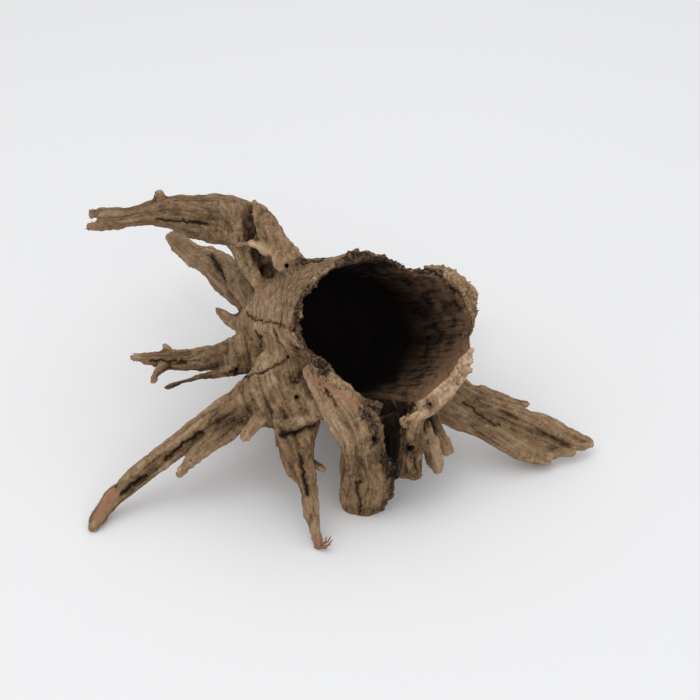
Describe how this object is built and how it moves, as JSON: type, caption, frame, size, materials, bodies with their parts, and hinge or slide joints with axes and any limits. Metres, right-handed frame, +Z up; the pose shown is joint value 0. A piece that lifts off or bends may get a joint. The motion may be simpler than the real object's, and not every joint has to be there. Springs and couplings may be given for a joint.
{
  "type": "dry root",
  "caption": "Hollow, weathered root stump lying on its side, with a wide open mouth and crooked broken roots that hold it up.",
  "frame": {"origin": "on the standing plane, under the middle of the root's bounding box", "axes": "+Z up from the standing plane; +X towards the broad plank-like root, along the longest extent; the hollow's mouth opens towards -Y, to the right and upwards"},
  "size_m": [0.3991, 0.3344, 0.1744],
  "materials": {
    "weathered_wood": "dry, rough and weathered, grey-brown with deep grain furrows"
  },
  "bodies": {
    "root": {"dry_root": "weathered_wood"}
  },
  "joints": []
}
